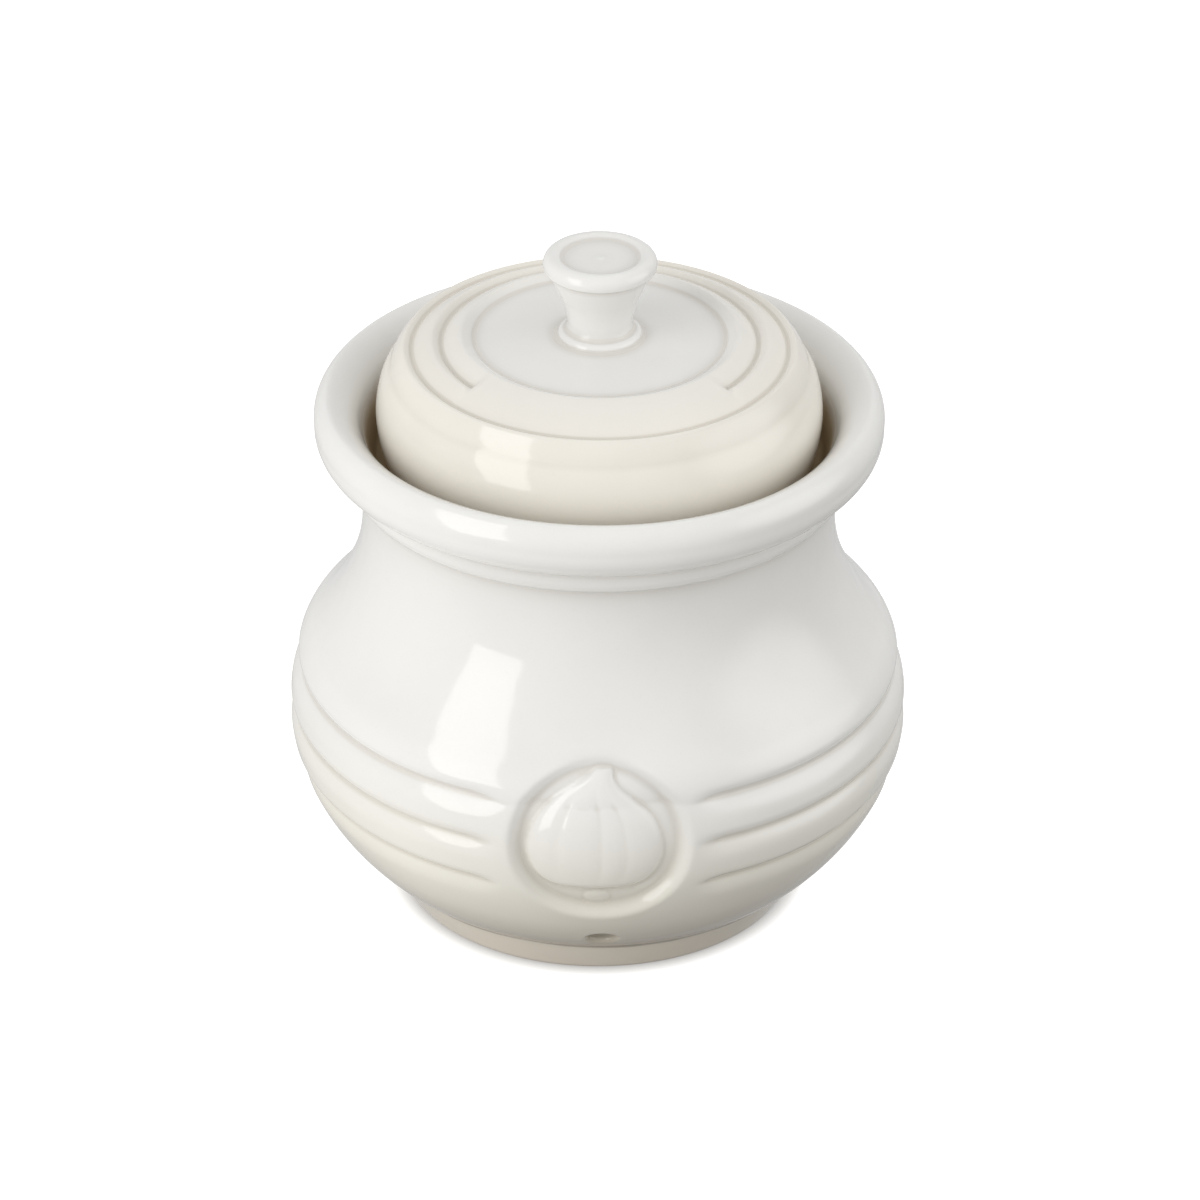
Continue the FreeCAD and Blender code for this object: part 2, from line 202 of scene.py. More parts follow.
def meeting(radius):
    """Where the shoulder's arc of this radius runs into the neck's hollow arc."""
    return (shoulder_centre[0] + radius * math.cos(meeting_angle),
            shoulder_centre[1] + radius * math.sin(meeting_angle))


collar_height = 0.0898
cove_centre = (neck_radius + cove_radius, waist[1])
cove_reach = math.sqrt(cove_radius ** 2 - (collar_height - waist[1]) ** 2)
collar_foot = (cove_centre[0] - cove_reach, collar_height)
collar_low = (0.0493, 0.0922)
collar_top = (0.0493, 0.0952)
rim_under = (0.0517, 0.0957)
rim_side = (0.0551, 0.1014)
rim_top = (0.0526, 0.1069)
gallery_top = (0.0466, 0.1024)
ledge_outer = (0.0432, 0.0940)
ledge_inner = (neck_radius - wall, 0.0940)
inner_waist = (neck_radius - wall, waist[1])
inner_shoulder = (shoulder[0] - wall, shoulder[1])
inner_belly = (belly[0] - wall, belly[1])
lower_bulge = -0.0021
lower_centre, lower_radius = arc_centre(foot_top, rib_foot, lower_bulge)
inner_rib_foot = lower_centre + (np.array(rib_foot) - lower_centre) * (1 - wall / lower_radius)
floor_height = 0.0095
floor_radius = 0.0400
floor_round = 0.0060
floor_corner, floor_edge, floor_bulge = eased(inner_rib_foot, (floor_radius, floor_height),
                                              (0.0, floor_height), floor_round)
belly_bulge = bulge_through(rib_foot, belly, shoulder)
print("the jar's waist is", round(waist[1] * 1000, 1), "mm up")

# %% The jar's outline
# Each stretch gives its end, its bulge and the number of rows on it.
jar_points, jar_rows = lay_out((0.0, foot_recess[1]), [
    (foot_recess, 0, 5),
    (foot_inner, 0, 4),
    (foot_outer, 0, 6),
    (foot_rise, foot_edge_bulge, 5),
    (foot_top, 0, 12),
    (rib_foot, lower_bulge, 48),
    (shoulder, belly_bulge, 58),
    (meeting(shoulder_radius), bulge_for(shoulder, meeting(shoulder_radius), -shoulder_radius), 20),
    (waist, bulge_for(meeting(shoulder_radius), waist, cove_radius), 20),
    (collar_foot, bulge_for(waist, collar_foot, cove_radius), 6),
    (collar_low, -0.0007, 6),
    (collar_top, 0, 5),
    (rim_under, 0, 4),
    (rim_side, -0.00115, 9),
    (rim_top, -0.00095, 10),
    (gallery_top, -0.0007, 8),
    (ledge_outer, 0, 6),
    (ledge_inner, 0, 3),
    (inner_waist, 0, 4),
    (meeting(shoulder_radius - wall),
     bulge_for(inner_waist, meeting(shoulder_radius - wall), -cove_radius - wall), 8),
    (inner_shoulder,
     bulge_for(meeting(shoulder_radius - wall), inner_shoulder, shoulder_radius - wall), 4),
    (inner_rib_foot, bulge_through(inner_shoulder, inner_belly, inner_rib_foot), 6),
    (floor_corner, 0, 7),
    (floor_edge, floor_bulge, 5),
    ((0.0, floor_height), 0, 6),
])

rib_grooves = (rib_foot[1], 0.0398, 0.0489)
rib_depth = 0.0014
rib_flank_below = 0.0044
rib_flank_above = 0.0025
rib_end = 0.06            # the ribs stay below this height
facing_out = 0.2          # a surface whose outward vector has at least this share is an outer wall

jar_outward = outward_of(jar_points)
outside_wall = jar_outward[:, 0] > facing_out
outside_wall &= (jar_points[:, 1] < rib_end) & (jar_points[:, 0] > foot_top[0])
rib_cut = sum(valley(jar_points[:, 1], place, rib_depth, rib_flank_below, rib_flank_above)
              for place in rib_grooves)
ribbed_points = jar_points - jar_outward * (rib_cut * outside_wall)[:, None]
jar_plain = rows_of(softened(jar_points, glaze_reach), jar_rows)
jar_ribbed = rows_of(softened(ribbed_points, glaze_reach), jar_rows)
print("the jar's outline has", len(jar_rows), "rows")

# %% Measures of the lid
seat_height = ledge_outer[1]
flange_play = 0.0010
flange_thickness = 0.0044
flange_radius = ledge_inner[0] - flange_play
flange_inner = flange_radius - flange_thickness
flange_low = lid_low[2]
flange_edge_round = 0.0012
ceiling_height = 0.1134
dome_run = 0.0120
dome_edge = (flange_inner - dome_run, ceiling_height)
spring = (flange_inner, 0.0996)
flange_corners = ((flange_inner, flange_low), (flange_radius, flange_low))
seat_inner = (flange_radius, seat_height)
inside_high, inside_low, flange_bulge = eased(spring, *flange_corners, flange_edge_round)
outside_low, outside_high, _ = eased(*flange_corners, seat_inner, flange_edge_round)
seat_corner = (0.0414, seat_height)
seat_edge_round = 0.0008
lid_wide = (0.0432, 0.1032)
seat_outer, skirt_low, seat_bulge = eased(seat_inner, seat_corner, lid_wide, seat_edge_round)
brow = (0.0378, 0.1171)
outer_groove = (0.0363, 0.1163)
middle_crest = (0.0322, 0.1187)
middle_groove = (0.0305, 0.1176)
inner_crest = (0.0266, 0.1201)
disc_edge = (0.0243, 0.1189)
collar_edge = (0.0080, 0.1197)
knob_collar = (0.0068, 0.1210)
knob_neck = (0.0062, 0.1230)
knob_waist = (0.0075, 0.1280)
knob_flare = (0.0098, 0.1336)
knob_band_foot = (0.0109, 0.1340)
knob_high = lid_high[2]
knob_corner = (0.0112, knob_high)
knob_edge_round = 0.0020
knob_band_high, knob_crest, knob_bulge = eased(knob_band_foot, knob_corner, (0.0, knob_high),
                                               knob_edge_round)
knob_dish_edge = (0.0080, 0.1368)
knob_dish_foot = (0.0072, 0.1361)
knob_pip_edge = (0.0010, 0.1360)
knob_pip_high = 0.1362
shoulder_dip = (0.1128, 0.00050, 0.0036, 0.0030)   # height, depth, reach below and above
lid_reach = 0.00030
print("the lid is", round(2000 * lid_wide[0], 1), "mm wide and its knob", round(2000 * knob_corner[0], 1))

# %% The lid's outline
bare_band = [
    (inner_crest, -0.0005, 50),
]
ringed_band = [
    (middle_crest, -0.0002, 16),
    (middle_groove, -0.00005, 12),
    (inner_crest, -0.0003, 22),
]


def lid_outline(band):
    """The lid's outline from the ceiling inside, down the flange and over the top to the knob."""
    return lay_out((0.0, ceiling_height), [
        (dome_edge, 0, 8),
        (spring, 0.0036, 12),
        (inside_high, 0, 6),
        (inside_low, flange_bulge, 4),
        (outside_low, 0, 3),
        (outside_high, flange_bulge, 4),
        (seat_inner, 0, 4),
        (seat_outer, 0, 3),
        (skirt_low, seat_bulge, 4),
        (lid_wide, -0.00035, 12),
        (brow, -0.0014, 30),
        (outer_groove, -0.00012, 10),
        *band,
        (disc_edge, -0.0001, 12),
        (collar_edge, -0.00015, 14),
        (knob_collar, -0.0006, 10),
        (knob_neck, 0.0002, 8),
        (knob_waist, 0.0002, 7),
        (knob_flare, -0.0001, 7),
        (knob_band_foot, 0, 3),
        (knob_band_high, 0, 5),
        (knob_crest, knob_bulge, 8),
        (knob_dish_edge, -0.00004, 4),
        (knob_dish_foot, 0.0001, 5),
        (knob_pip_edge, 0, 5),
        ((0.0, knob_pip_high), 0, 4),
    ])


def dipped(points):
    """The outline with the shallow hollow that runs round the lid's shoulder, under the brow."""
    outward = outward_of(points)
    on_shoulder = (outward[:, 0] > facing_out) & (points[:, 0] > brow[0])
    return points - outward * (valley(points[:, 1], *shoulder_dip) * on_shoulder)[:, None]


lid_plain, lid_ringed = (rows_of(softened(dipped(points), lid_reach), rows)
                         for points, rows in (lid_outline(bare_band), lid_outline(ringed_band)))
print("the lid's outline has", len(lid_plain), "rows")

# %% [markdown]
# ## Nodes, written as text
#
# The pots' shapes, the glaze, the room and the floor all use node trees.  Three small helpers keep them
# short: one adds any node with its settings and inputs, one adds a step of arithmetic, and one adds a
# soft change from one value to another.  An input that is given another node's output is linked to it,
# and any other value is typed in.

# %% Helpers that add nodes
def add_node(tree, kind, inputs=(), **settings):
    """Adds a node, sets it, links or fills its inputs, and gives its outputs."""
    node = tree.nodes.new(kind)
    for name, value in settings.items():
        setattr(node, name, value)
    for place, value in dict(inputs).items():
        if isinstance(value, bpy.types.NodeSocket):
            tree.links.new(value, node.inputs[place])
        else:
            node.inputs[place].default_value = value
    return node.outputs


def add_maths(tree, operation, *values):
    """Adds one step of arithmetic on values or on other nodes' outputs."""
    return add_node(tree, "ShaderNodeMath", enumerate(values), operation=operation)[0]


def add_fade(tree, value, low, high, start=0.0, end=1.0):
    """Adds a smooth change from start to end as a value goes from low to high."""
    return add_node(tree, "ShaderNodeMapRange", {
        "Value": value, "From Min": low, "From Max": high, "To Min": start, "To Max": end},
        interpolation_type="SMOOTHSTEP")[0]


# %% [markdown]
# ## Turning the pots with Geometry Nodes
#
# A turned pot follows one rule: take the outline round the axis.  The real maker breaks that rule in
# one place only, the front, where the ribs stop short of the roundel and the rings stop short of the
# bare band.  So the tree below takes two outlines, the plain one and the ribbed one, wraps a grid round
# the axis, and blends from one to the other by how far round a point is from the front.  The columns
# crowd towards the front, where the fine work is, and thin out at the back.

# %% A node tree that turns two outlines
merge_distance = 1e-6


def turning_tree():
    """The tree, and the identifiers of its named inputs."""
    tree = bpy.data.node_groups.new("turned_pot", "GeometryNodeTree")
    sockets = {}
    for name, kind in (("Plain Outline", "Object"), ("Ribbed Outline", "Object"), ("Rows", "Int"),
                       ("Columns", "Int"), ("Crowding", "Float"), ("Gap Angle", "Float"),
                       ("Fade Angle", "Float"), ("Glaze", "Material")):
        socket = tree.interface.new_socket(name, in_out="INPUT", socket_type="NodeSocket" + kind)
        sockets[name] = socket.identifier
    tree.interface.new_socket("Geometry", in_out="OUTPUT", socket_type="NodeSocketGeometry")
    add = functools.partial(add_node, tree)
    maths = functools.partial(add_maths, tree)
    given = add("NodeGroupInput")

    # A flat grid: its rows are the outline's rows, and its columns go once round the pot.
    grid = add("GeometryNodeMeshGrid", {
        "Size X": math.tau, "Size Y": 1.0,
        "Vertices X": maths("ADD", given["Columns"], 1), "Vertices Y": given["Rows"]})
    place = add("ShaderNodeSeparateXYZ", {0: add("GeometryNodeInputPosition")[0]})
    last_row = maths("SUBTRACT", given["Rows"], 1)
    row = maths("ROUND", maths("MULTIPLY", maths("ADD", place["Y"], 0.5), last_row))
    bunched = maths("MULTIPLY", given["Crowding"], maths("SINE", place["X"]))
    azimuth = maths("SUBTRACT", place["X"], bunched)

    # The plain outline inside the gap, the ribbed one past its fade.
    fade = add_fade(tree, maths("ABSOLUTE", azimuth), given["Gap Angle"],
                    maths("ADD", given["Gap Angle"], given["Fade Angle"]))
    found = []
    for name in ("Plain Outline", "Ribbed Outline"):
        points = add("GeometryNodeObjectInfo", {"Object": given[name]})["Geometry"]
        found.append(add("GeometryNodeSampleIndex", {
            "Geometry": points, "Value": add("GeometryNodeInputPosition")[0], "Index": row},
            data_type="FLOAT_VECTOR", domain="POINT")[0])
    blend = tree.nodes.new("ShaderNodeMix")
    blend.data_type = "VECTOR"
    vector_inputs = [socket for socket in blend.inputs if socket.type == "VECTOR" and socket.name in "AB"]
    tree.links.new(fade, blend.inputs[0])
    tree.links.new(found[0], vector_inputs[0])
    tree.links.new(found[1], vector_inputs[1])
    blended = next(socket for socket in blend.outputs if socket.type == "VECTOR")
    outline_point = add("ShaderNodeSeparateXYZ", {0: blended})

    # Wrapped round the axis.  The row numbers are stored while the grid is still flat, because a field
    # that reads positions would change as soon as the points move.
    across = maths("MULTIPLY", outline_point["X"], maths("SINE", azimuth))
    back = maths("MULTIPLY", maths("MULTIPLY", outline_point["X"], maths("COSINE", azimuth)), -1)
    wrapped = add("ShaderNodeCombineXYZ", {"X": across, "Y": back, "Z": outline_point["Z"]})[0]
    flat = add("GeometryNodeStoreNamedAttribute", {"Geometry": grid["Mesh"], "Name": "row", "Value": row},
               data_type="FLOAT", domain="POINT")[0]
    shape = add("GeometryNodeSetPosition", {"Geometry": flat, "Position": wrapped})[0]
    shape = add("GeometryNodeMergeByDistance", {"Geometry": shape, "Distance": merge_distance})[0]
    shape = add("GeometryNodeSetShadeSmooth", {"Geometry": shape})[0]
    shape = add("GeometryNodeRealizeInstances", {"Geometry": shape})[0]
    shape = add("GeometryNodeSetMaterial", {"Geometry": shape, "Material": given["Glaze"]})[0]
    add("NodeGroupOutput", {0: shape})
    return tree, sockets


def outline_object(name, points):
    """A helper whose points are the outline's rows, for the tree to read."""
    mesh = bpy.data.meshes.new(name)
    mesh.from_pydata([(radius, 0, height) for radius, height in points], [], [])
    made = bpy.data.objects.new(name, mesh)
    bpy.context.collection.objects.link(made)
    return made


def turned(name, plain, ribbed, columns, crowding, gap, fade, glaze):
    """A pot turned from two outlines of equal length, as a plain mesh object."""
    tree, sockets = turning_tree()
    host = bpy.data.objects.new(name, bpy.data.meshes.new(name))
    bpy.context.collection.objects.link(host)
    helpers = [outline_object(name + "_plain", plain), outline_object(name + "_ribbed", ribbed)]
    modifier = host.modifiers.new("turning", "NODES")
    modifier.node_group = tree
    for label, value in (("Plain Outline", helpers[0]), ("Ribbed Outline", helpers[1]),
                         ("Rows", len(plain)), ("Columns", columns), ("Crowding", crowding),
                         ("Gap Angle", math.radians(gap)), ("Fade Angle", math.radians(fade)),
                         ("Glaze", glaze)):
        modifier[sockets[label]] = value
    seen = host.evaluated_get(bpy.context.evaluated_depsgraph_get())
    mesh = bpy.data.meshes.new_from_object(seen)
    host.modifiers.clear()
    host.data = mesh
    mesh.name = name
    mesh.materials.clear()
    mesh.materials.append(glaze)
    for helper in helpers:
        bpy.data.objects.remove(helper)
    print(name, "has", len(mesh.vertices), "corners and", len(mesh.polygons), "faces")
    return host


# %% [markdown]
# ## Glaze
#
# The clay and its glaze are one material made twice, once for each piece.  The glaze is white where
# it lies thick and shows the buff clay where it is thin, near the foot and over the edge of the lid.
# Low on the jar the colour is also darkened as painted shade, darkest in a narrow line painted at the
# crease above the foot ring.  It gathers in hollows, where it is made darker and warmer, partly for
# the pooled glaze and partly as painted shade in the grooves, creases and the roundel, and in the
# deepest of them it is less glossy.  Two painted numbers on each mesh say where those places are:
# `hollow`, and `bare` for the matt faces that are wiped clean before firing; where `bare` reaches up
# the wall of the gap between the lid and the rim, its dark clay colour is painted shade.

# %% Helpers for colour
def ramp(tree, stops, factor):
    """Adds a colour ramp through stops of place and colour."""
    node = tree.nodes.new("ShaderNodeValToRGB")
    elements = node.color_ramp.elements
    elements[0].position, elements[0].color = stops[0][0], (*stops[0][1], 1)
    elements[1].position, elements[1].color = stops[-1][0], (*stops[-1][1], 1)
    for place, colour in stops[1:-1]:
        elements.new(place).color = (*colour, 1)
    tree.links.new(factor, node.inputs[0])
    return node.outputs["Color"]


def linear(red, green, blue):
    """A colour picked on a screen, 0 to 255, as the shader wants it."""
    parts = [value / 255 for value in (red, green, blue)]
    return tuple(v / 12.92 if v <= 0.04045 else ((v + 0.055) / 1.055) ** 2.4 for v in parts)


# %% Colours and measures of the glaze
white = linear(235, 234, 231)
# Bare clay, also used as painted shade on the walls of the gap between lid and rim.
bisque = linear(168, 146, 112)
# Hollows are darkened and warmed by this: partly the glaze pooled there, partly painted shade.
hollow_pool_and_shade = (0.865, 0.845, 0.815)

# Colour up the jar, and outwards over the lid.  On the jar a narrow dark band of painted shade lies
# at the crease just above the foot ring, and the lower body lightens slowly from it up to 30 mm, partly
# the buff clay under thin glaze and partly painted shade.
jar_stops = [
    (0.0, linear(226, 217, 202)), (0.0073, linear(224, 216, 202)), (0.0078, linear(132, 122, 104)),
    (0.0098, linear(174, 166, 150)), (0.0135, linear(203, 196, 182)), (0.020, linear(221, 216, 205)),
    (0.030, linear(231, 228, 219)), (0.050, white), (0.140, white),
]
lid_stops = [
    (0.0, white), (0.0225, white), (0.0275, linear(235, 232, 225)), (0.037, linear(235, 231, 222)),
    (0.044, linear(233, 228, 217)),
]

glaze_roughness = 0.09
clay_roughness = 0.6        # what bare clay adds to it
hollow_roughness = 0.25     # what the deepest hollow adds
most_roughness = 0.7

# Each noise is its scale and detail.
wander_noise, wander_reach = (45, 3), 0.0015
cloud_noise, cloud_stops = (38, 4), [(0.3, (0.965, 0.965, 0.965)), (0.7, (1, 1, 1))]
speck_noise, speck_stops = (1400, 2), [(0.30, (0.90, 0.875, 0.84)), (0.38, (1, 1, 1))]
speck_share = 0.10
dimple_noise, dimple_depth = (60, 2), 0.00022
print("bare clay, linear:", [round(part, 3) for part in bisque])


# %% The glaze and the wiped clay
def glaze(name, stops, along):
    """White glaze whose colour follows stops along the height or the distance from the axis."""
    material = bpy.data.materials.new(name)
    material.use_nodes = True
    tree = material.node_tree
    shader = tree.nodes["Principled BSDF"]
    add = functools.partial(add_node, tree)
    maths = functools.partial(add_maths, tree)
    place = add("ShaderNodeTexCoord")["Object"]

    def noise(scale, detail):
        return add("ShaderNodeTexNoise", {"Vector": place, "Scale": scale, "Detail": detail})[0]

    def mixed(blend, factor, first, second):
        return add("ShaderNodeMix", {0: factor, 6: first, 7: second},
                   data_type="RGBA", blend_type=blend)[2]

    def painted(label):
        return add("ShaderNodeAttribute", attribute_name=label)["Fac"]

    split = add("ShaderNodeSeparateXYZ", {0: place})
    if along == "height":
        measure = split["Z"]
    else:
        squares = [maths("POWER", split[axis], 2.0) for axis in "XY"]
        measure = maths("SQRT", maths("ADD", *squares))
    wander = maths("MULTIPLY", maths("SUBTRACT", noise(*wander_noise), 0.5), wander_reach)
    reach = stops[-1][0]
    factor = maths("DIVIDE", maths("ADD", measure, wander), reach)
    colour = ramp(tree, [(stop / reach, shade) for stop, shade in stops], factor)
    colour = mixed("MULTIPLY", 1.0, colour, ramp(tree, cloud_stops, noise(*cloud_noise)))
    colour = mixed("MULTIPLY", speck_share, colour, ramp(tree, speck_stops, noise(*speck_noise)))
    # Darker and warmer in hollows: pooled glaze, and painted shade in grooves, creases and the roundel.
    colour = mixed("MULTIPLY", painted("hollow"), colour, (*hollow_pool_and_shade, 1))
    bare = painted("bare")
    # Bare clay; on the wall of the gap between lid and rim this darker colour is painted shade.
    colour = mixed("MIX", bare, colour, (*bisque, 1))

    deep = maths("POWER", painted("hollow"), 4.0)
    added = [maths("MULTIPLY", bare, clay_roughness), maths("MULTIPLY", deep, hollow_roughness)]
    matt = maths("ADD", *added)
    roughness = maths("MINIMUM", maths("ADD", matt, glaze_roughness), most_roughness)
    dimples = add("ShaderNodeBump", {
        "Strength": 1.0, "Distance": dimple_depth, "Height": noise(*dimple_noise)})[0]
    for label, value in (("Base Color", colour), ("Roughness", roughness), ("Normal", dimples)):
        tree.links.new(value, shader.inputs[label])
    return material


jar_glaze = glaze("jar_glaze", jar_stops, "height")
lid_glaze = glaze("lid_glaze", lid_stops, "radius")
print("materials:", jar_glaze.name, lid_glaze.name)

# %% [markdown]
# ## The two pots
#
# The jar and the lid are turned here.  The ribs of the jar run out each side of the roundel, and the
# lid's middle ring runs out each side of the front, so each piece has its own gap and fade.

# %% Turn the jar and the lid
# Columns round each pot, how far they crowd to its front, and its gap and fade in degrees.
jar_columns, jar_crowding, rib_gap, rib_fade = 352, 0.85, 17.2, 8.0
lid_columns, lid_crowding, ring_gap, ring_fade = 288, 0.35, 49.0, 4.0
jar = turned("jar_shell", jar_plain, jar_ribbed, jar_columns, jar_crowding,
             rib_gap, rib_fade, jar_glaze)
lid = turned("lid_shell", lid_plain, lid_ringed, lid_columns, lid_crowding,
             ring_gap, ring_fade, lid_glaze)

# %% [markdown]
# ## The roundel and its garlic bulb
#
# The roundel is a shallow dish pressed into the front of the belly, with soft walls and an even floor.
# In it stands a garlic bulb in low relief: a wide dome that draws in to a short cut stem, with furrows
# between the cloves and a small root under it.  It could be a piece of its own, but on the real jar it
# is one clay with the wall and runs softly into it.  So it is sculpted by moving the points of the
# outer wall straight forwards or back, as a mould that pulls off to the front would leave them.

# %% Measures of the roundel and the bulb
roundel_height = 0.0403
roundel_shift = 0.0005     # the dish sits a little right of the bulb
recess_depth = 0.0029
recess_floor_radius = 0.0142
recess_lip_radius = 0.0183

bulb_low = 0.0294
bulb_high = 0.0563
bulb_half_width = 0.0133
bulb_shift = -0.0004
stem_lean = 0.0022
bulb_relief = 0.0028
bulb_roundness = 2.1
bulb_blend = 0.0012        # how far the corners of the outline below are rounded
# Up the bulb: share of its height, half width and lean as shares of those above.
bulb_stations = [
    (0.0, 0.36, 0.0), (0.02, 0.54, 0.0), (0.05, 0.68, 0.0), (0.10, 0.80, 0.0), (0.17, 0.905, 0.0),
    (0.25, 0.97, 0.0), (0.33, 1.0, 0.0), (0.42, 0.99, 0.0),
    (0.59, 0.865, 0.0), (0.66, 0.76, 0.0), (0.79, 0.49, -0.30), (0.88, 0.235, 0.0),
    (0.95, 0.135, 0.80), (1.0, 0.12, 1.0),
]
bulb_foot_rise = 0.10      # the relief has risen by this share of the height
bulb_tip_fall = 0.955      # and falls again from this share on
furrows = ((-0.57, 0.10), (0.08, 0.10), (0.46, 0.09))      # place and spread across the half width
furrow_depth = 0.00016
furrow_foot_rise = 0.30
furrow_tip_gone, furrow_tip_fall = 0.93, 0.62
root_height = 0.0272
root_half_width = 0.0026
root_half_height = 0.0016
root_relief = 0.00055
bulb_join = 0.00035        # how softly the bulb and the root run into the dish
root_join = 0.0004
print("the bulb is", round(1000 * (bulb_high - bulb_low), 1), "mm high")


# %% The shape of the relief
def smoothstep(low, high, value):
    """A smooth change from 0 to 1 as the value goes from low to high, or back where low is higher."""
    share = np.clip((value - low) / (high - low), 0, 1)
    return share * share * (3 - 2 * share)


def soft_max(first, second, blend):
    """The larger of two values, with a soft passage where they are alike."""
    near = np.maximum(blend - np.abs(first - second), 0) / blend
    return np.maximum(first, second) + near * near * blend / 4


heights_up = np.arange(bulb_low, bulb_high, fine_step)
shares_up, widths_up, leans_up = np.array(bulb_stations).T
station_heights = bulb_low + (bulb_high - bulb_low) * shares_up
bulb_sides = softened(np.column_stack([
    np.interp(heights_up, station_heights, bulb_half_width * widths_up),
    np.interp(heights_up, station_heights, bulb_shift + stem_lean * leans_up)]), bulb_blend)


def bulb_height(across, height):
    """How far the bulb stands out of the roundel's floor."""
    share = (height - bulb_low) / (bulb_high - bulb_low)
    width, centre = (np.interp(height, heights_up, bulb_sides[:, k]) for k in (0, 1))
    side = (across - centre) / np.maximum(width, 1e-5)
    body = np.clip(1 - np.abs(side) ** bulb_roundness, 0, 1)
    relief = bulb_relief * np.sqrt(np.clip(width / bulb_half_width, 0, 1))
    ends = np.sqrt(smoothstep(0.0, bulb_foot_rise, share)) * smoothstep(1.0, bulb_tip_fall, share)
    out = relief * np.sqrt(body) * ends
    cuts = sum(np.exp(-((side - place) / spread) ** 2) for place, spread in furrows)
    fade = smoothstep(0.0, furrow_foot_rise, share) * smoothstep(furrow_tip_gone, furrow_tip_fall, share)
    return out - furrow_depth * np.clip(cuts, 0, 1) * fade * (out > 0)


def root_out(across, height):
    """How far the root stands out of the roundel's floor."""
    body = 1 - (across / root_half_width) ** 2 - ((height - root_height) / root_half_height) ** 2
    return root_relief * np.sqrt(np.clip(body, 0, 1))


def roundel_offset(across, height):
    """How far the wall moves outwards; negative in the dish."""
    reach = np.hypot(across - roundel_shift, height - roundel_height)
    dish = -recess_depth * smoothstep(recess_lip_radius, recess_floor_radius, reach)
    bulb = bulb_height(across, height) - recess_depth
    offset = soft_max(dish, bulb, bulb_join)
    offset = soft_max(offset, root_out(across, height) - recess_depth, root_join)
    return np.where(reach < recess_lip_radius, offset, 0)


# %% Press the roundel into the wall
def numbers(mesh, name):
    """The values of a mesh's attribute."""
    values = np.zeros(len(mesh.vertices))
    mesh.attributes[name].data.foreach_get("value", values)
    return values


def places(mesh, what="co"):
    """The places of a mesh's points, or their normals."""
    values = np.zeros(3 * len(mesh.vertices))
    mesh.vertices.foreach_get(what, values)
    return values.reshape(-1, 3)


plain_outward = outward_of(softened(jar_points, glaze_reach))
row_index = np.round(numbers(jar.data, "row")).astype(int)
points = places(jar.data)
outer_wall = rows_of(plain_outward, jar_rows)[row_index, 0] > facing_out
offset = roundel_offset(points[:, 0], points[:, 2]) * (outer_wall & (points[:, 1] < 0))
points[:, 1] -= offset
jar.data.vertices.foreach_set("co", points.ravel())
jar.data.update()
print("deepest", round(offset.min() * 1000, 2), "mm, over", int((offset != 0).sum()), "points")

# %% [markdown]
# ## The vents
#
# Garlic keeps best in moving air, so each keeper has small holes low in its wall, drilled square to
# the slope while the clay is leather hard and sponged smooth.  A Boolean could cut them, but it leaves
# long thin faces round the hole that spoil the gloss.  So a patch of faces is taken out of both sides
# of the wall and new rings are laid in: flat, over the soft lip, down the bore and out inside.

# %% Measures of the vents, and the two sides of the wall
vent_height = 0.0134
vent_shift = 0.0011        # both vents sit a little to the right of the middle
vent_radius = 0.0029
vent_lip = 0.0011          # radius of the soft edge outside
vent_sides = 48
lip_angles = (0, 15, 30, 45, 60, 75, 90)
outer_opening = 0.0062     # how far round a vent's axis the wall loses its own faces, outside
inner_opening = 0.0050     # and inside
flat_rings = (0.0011, 0.0005)      # how far beyond the lip the flat rings lie
bore_rings = (0.0025, 0.0045)      # how deep the rings in the bore lie
inner_edge = 0.0003        # size of the small bevel inside
inner_flat = 0.0008
wall_slope = (inner_rib_foot[0] - floor_corner[0]) / (inner_rib_foot[1] - floor_corner[1])
wall_skin = 0.001          # a point this close to a wall belongs to it
probe = 1e-6
settling_steps = 12


def lower_body(height):
    """Radius of the lower body at a height."""
    return lower_centre[0] + math.sqrt(max(lower_radius ** 2 - (height - lower_centre[1]) ** 2, 0))


def outside_gap(point):
    """How far a point is outside the lower body."""
    return math.hypot(point.x, point.y) - lower_body(point.z)


def inside_gap(point):
    """How far a point is outside the cavity's lower wall."""
    return math.hypot(point.x, point.y) - floor_corner[0] - (point.z - floor_corner[1]) * wall_slope


def settled(point, along, gap):
    """The point moved along a direction until it lies on a wall."""
    for _ in range(settling_steps):
        ahead = gap(point + along * probe)
        here = gap(point)
        point = point - along * (here * probe / (ahead - here))
    return point


print("the lower body is", round(2000 * lower_body(vent_height), 1), "mm wide at the vents")


# %% Drill the vents
def open_rim(shape, axis_point, outward, reach, gap):
    """Takes out the faces of one wall near the axis, and gives the edges round the opening."""
    def near(corner):
        arm = corner.co - axis_point
        return (arm - outward * arm.dot(outward)).length < reach and abs(gap(corner.co)) < wall_skin

    doomed = [face for face in shape.faces if any(near(corner) for corner in face.verts)]
    around = {edge for face in doomed for edge in face.edges}
    bmesh.ops.delete(shape, geom=doomed, context="FACES")
    return [edge for edge in around if edge.is_valid and len(edge.link_faces) == 1]


